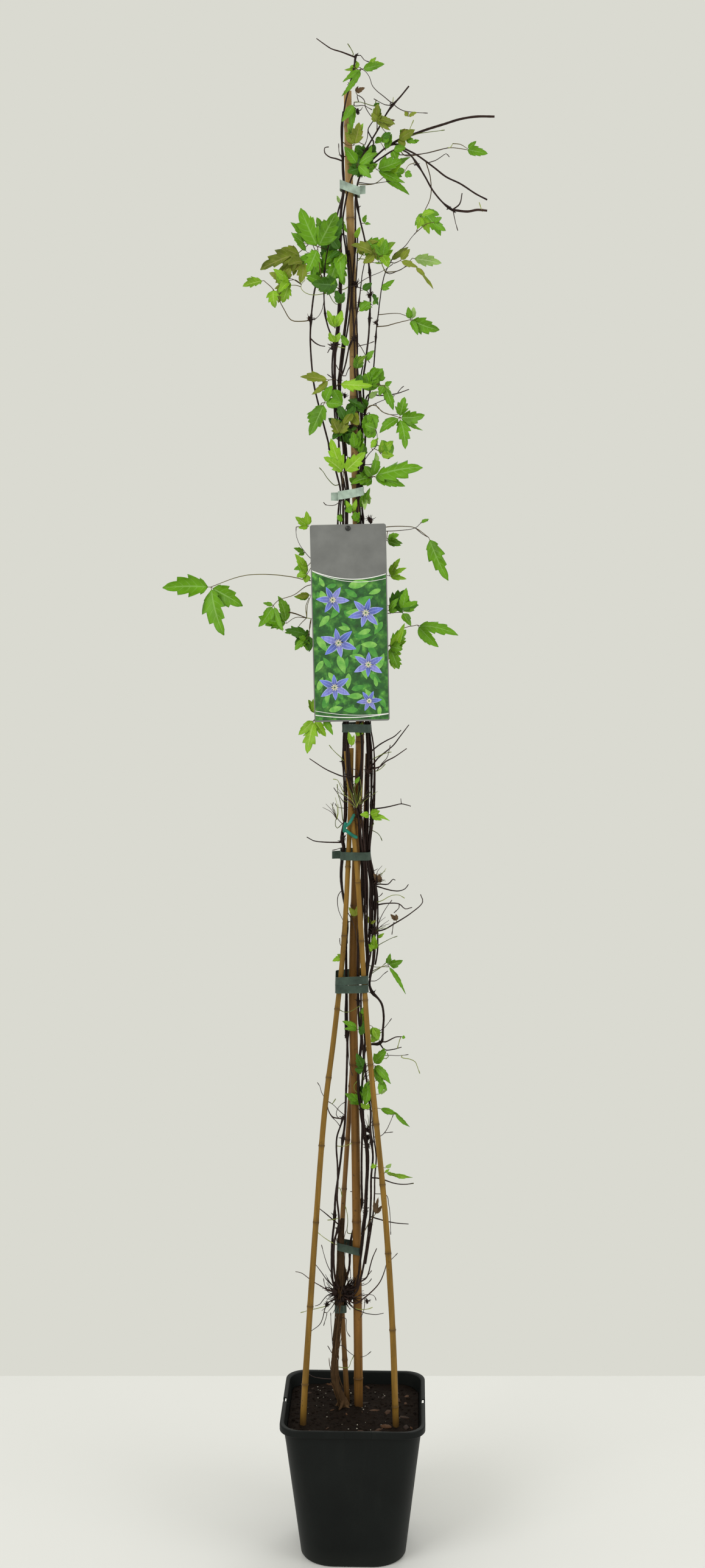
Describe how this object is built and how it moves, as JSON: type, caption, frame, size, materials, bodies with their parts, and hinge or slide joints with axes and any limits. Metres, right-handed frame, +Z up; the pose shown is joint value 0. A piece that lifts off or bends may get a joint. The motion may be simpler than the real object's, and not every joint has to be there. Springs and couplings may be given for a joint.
{
  "type": "potted alpine clematis",
  "caption": "Young climbing clematis in a square nursery pot, trained up a tall bamboo cane and shorter outer canes, with tying tapes and a hanging label card.",
  "frame": {"origin": "centre of the pot's flat underside", "axes": "+Z up along the canes, -Y the side with the label card, +X to the right when the label card is read"},
  "size_m": [0.417, 0.194, 1.9441],
  "materials": {
    "pot_plastic": "satin",
    "soil": "matte",
    "bamboo": "satin",
    "vine_bark": "matte",
    "leaf_fresh": "satin",
    "leaf_bright": "satin",
    "leaf_olive": "satin",
    "leaf_pale": "satin",
    "leaf_dark": "satin",
    "leaf_dry": "matte",
    "tape_pale": "matte",
    "tape_green": "matte",
    "label_card": "satin",
    "peg_plastic": "satin",
    "tie_plastic": "satin"
  },
  "bodies": {
    "root": {"pot": "pot_plastic", "soil": "soil", "cane_tall": "bamboo", "cane_left": "bamboo", "cane_right": "bamboo", "cane_back": "bamboo", "crown": "vine_bark", "stem_left": "vine_bark", "stem_short": "vine_bark", "stem_front": "vine_bark", "stem_leader": "vine_bark", "stem_inner": "vine_bark", "stem_right": "vine_bark", "leaf_01": "leaf_fresh", "leaf_02": "leaf_olive", "leaf_03": "leaf_fresh", "leaf_04": "leaf_fresh", "leaf_05": "leaf_olive", "leaf_06": "leaf_fresh", "leaf_07": "leaf_fresh", "leaf_08": "leaf_fresh", "leaf_09": "leaf_fresh", "leaf_10": "leaf_olive", "leaf_11": "leaf_bright", "leaf_12": "leaf_fresh", "leaf_13": "leaf_dark", "leaf_14": "leaf_olive", "leaf_15": "leaf_bright", "leaf_16": "leaf_pale", "leaf_17": "leaf_olive", "leaf_18": "leaf_fresh", "leaf_19": "leaf_olive", "leaf_20": "leaf_bright", "leaf_21": "leaf_fresh", "leaf_22": "leaf_fresh", "leaf_23": "leaf_fresh", "leaf_24": "leaf_fresh", "leaf_25": "leaf_bright", "leaf_26": "leaf_fresh", "leaf_27": "leaf_fresh", "leaf_28": "leaf_fresh", "leaf_29": "leaf_fresh", "leaf_30": "leaf_fresh", "leaf_31": "leaf_fresh", "leaf_32": "leaf_bright", "leaf_33": "leaf_bright", "leaf_34": "leaf_fresh", "leaf_35": "leaf_fresh", "leaf_36": "leaf_fresh", "dry_leaf": "leaf_dry", "tie_1": "tape_pale", "tie_2": "tape_pale", "tie_3": "tape_green", "tie_4": "tape_green", "tie_5": "tape_green", "tie_6": "tape_green", "tie_7": "tape_green", "label": "label_card", "label_peg": "peg_plastic", "plant_tie": "tie_plastic"}
  },
  "joints": []
}
